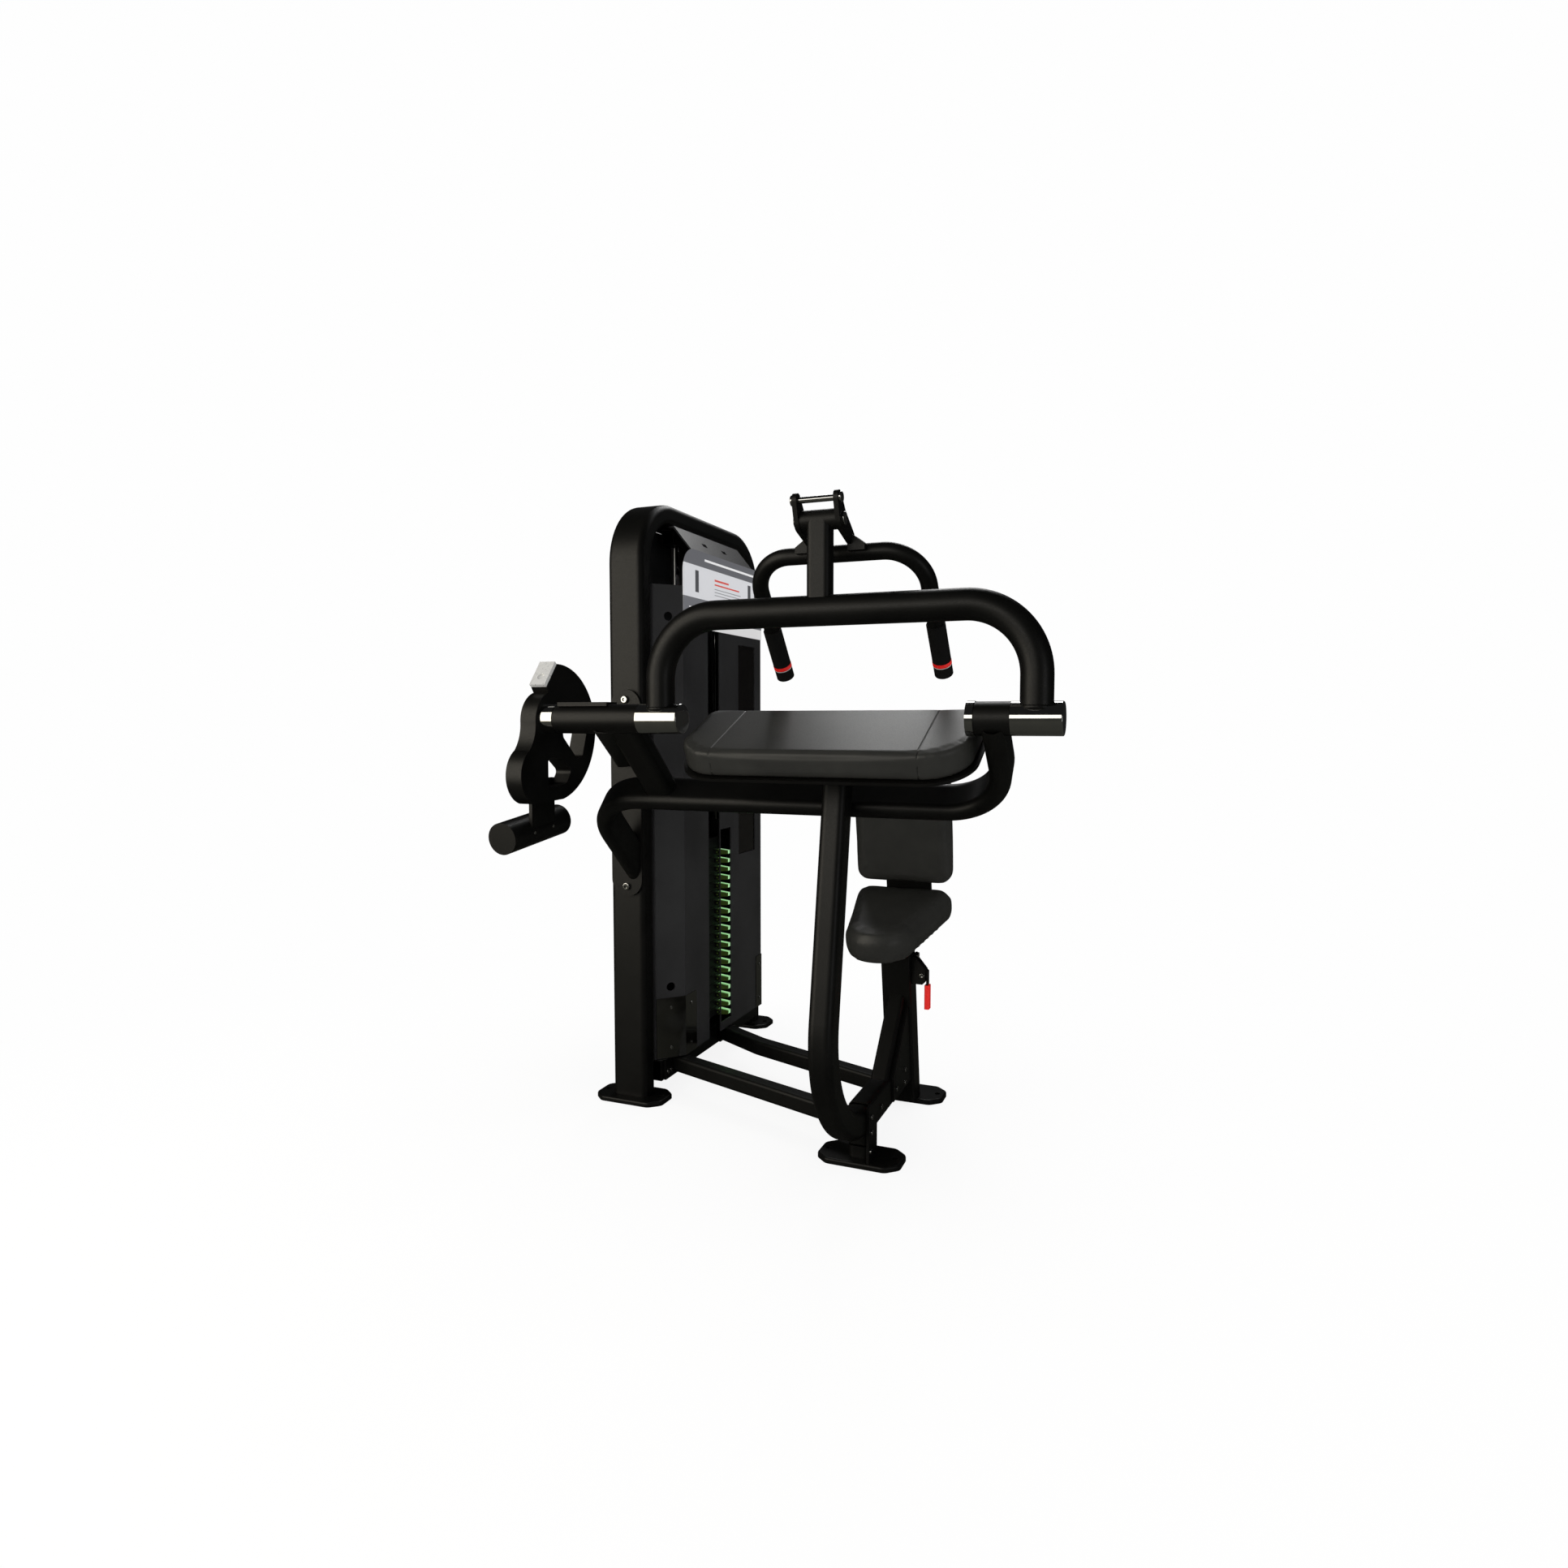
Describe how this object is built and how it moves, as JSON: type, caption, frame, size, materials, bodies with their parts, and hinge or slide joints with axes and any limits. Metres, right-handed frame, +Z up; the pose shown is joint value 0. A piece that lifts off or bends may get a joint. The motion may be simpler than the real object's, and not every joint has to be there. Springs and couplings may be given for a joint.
{
  "type": "triceps extension machine",
  "caption": "Seated arm extension gym machine: tower with weight stack, swinging U-bar with hinged handles, sloped arm pad, seat and back pad.",
  "frame": {"origin": "floor under the middle of the front foot", "axes": "+X along the arm pivot to the viewer's right, away from the tower; +Y from the front foot back to the seat; +Z up"},
  "size_m": [1.174, 1.2031, 1.5],
  "materials": {
    "black_frame": "satin black powder coat",
    "cam_black": "satin black paint",
    "chrome": "polished",
    "bronze": "plain bearing bush",
    "cap_black": "gloss black",
    "shroud_grey": "satin charcoal",
    "guard_gloss": "gloss",
    "window_smoke": "smoked sheet",
    "placard_print": "printed bands, no lettering",
    "pad_vinyl": "satin black vinyl",
    "grip_rubber": "matte",
    "red_plastic": "gloss red",
    "green_plastic": "bright green",
    "stack_iron": "black painted plates"
  },
  "bodies": {
    "frame": {"front_foot": "black_frame", "rear_feet": "black_frame", "tower_hoop": "black_frame", "tower_sill": "black_frame", "floor_beam": "black_frame", "front_post": "black_frame", "near_rail": "black_frame", "far_rail": "black_frame", "mounting_plate": "black_frame", "pivot_housings": "black_frame", "pivot_bushes": "bronze", "pivot_frame": "black_frame", "frame_strut": "black_frame", "hub_bar": "black_frame", "arm_pad_centre": "pad_vinyl", "arm_pad_ends": "pad_vinyl", "arm_pad_tray": "black_frame", "seat_post": "black_frame", "seat_brace": "black_frame", "lever_mount": "black_frame", "shroud_sides": "shroud_grey", "shroud_near_front": "shroud_grey", "shroud_far_front": "shroud_grey", "shroud_window": "window_smoke", "placard": "placard_print", "shroud_top_cover": "shroud_grey", "shroud_rear": "shroud_grey", "kick_guards": "guard_gloss", "guide_rods": "chrome", "rod_bracket": "black_frame", "stack_bumpers": "grip_rubber", "frame_bolts": "chrome"},
    "arm": {"pivot_shafts": "chrome", "pivot_collars": "chrome", "pivot_sleeves": "chrome", "pivot_end_caps": "cap_black", "u_bar": "black_frame", "arm_post": "black_frame", "handle_pivot_tube": "black_frame", "cam": "cam_black", "cam_clamp": "chrome", "counterweight_neck": "black_frame", "counterweight": "black_frame", "counterweight_screws": "chrome"},
    "handles": {"yoke_plates": "black_frame", "yoke_rods": "chrome", "handle_frame": "black_frame", "handle_grips": "grip_rubber", "grip_rings": "red_plastic"},
    "stack": {"weight_plates": "stack_iron", "stack_head": "black_frame", "stack_toggles": "green_plastic"},
    "toggle": {"top_toggle": "green_plastic"},
    "seat": {"seat_slide": "black_frame", "back_carrier": "black_frame", "seat_cushion": "pad_vinyl", "back_cushion": "pad_vinyl"},
    "lever": {"seat_lever": "black_frame", "lever_grip": "red_plastic"},
    "plunger": {"lever_plunger": "chrome"}
  },
  "joints": [
    {"name": "arm_swing", "type": "hinge", "parent": "frame", "child": "arm", "pos_m": [0, -0.276, 0.956], "axis": [1, 0, 0], "range_deg": [0, 110]},
    {"name": "handle_tilt", "type": "hinge", "parent": "arm", "child": "handles", "pos_m": [0, -0.274, 1.32], "axis": [1, 0, 0], "range_deg": [-20, 50]},
    {"name": "stack_lift", "type": "slide", "parent": "frame", "child": "stack", "axis": [0, 0, 1], "range_m": [0, 0.212]},
    {"name": "toggle_flip", "type": "hinge", "parent": "stack", "child": "toggle", "pos_m": [-0.574, 0.4815, 0.585], "axis": [0, -1, 0], "range_deg": [0, 12]},
    {"name": "seat_height", "type": "slide", "parent": "frame", "child": "seat", "axis": [0, -0.168, 0.9858], "range_m": [-0.025, 0.1]},
    {"name": "seat_lever_pull", "type": "hinge", "parent": "frame", "child": "lever", "pos_m": [0.062, 0.2905, 0.342], "axis": [0, 1, 0], "range_deg": [0, 10], "stiffness_Nm_per_rad": 1},
    {"name": "plunger_draw", "type": "slide", "parent": "frame", "child": "plunger", "axis": [1, 0, 0], "range_m": [0, 0.00873]}
  ],
  "couplings": [
    {"joint": "stack_lift", "follows": "arm_swing", "m_per_rad": 0.11},
    {"joint": "plunger_draw", "follows": "seat_lever_pull", "m_per_rad": 0.05}
  ]
}
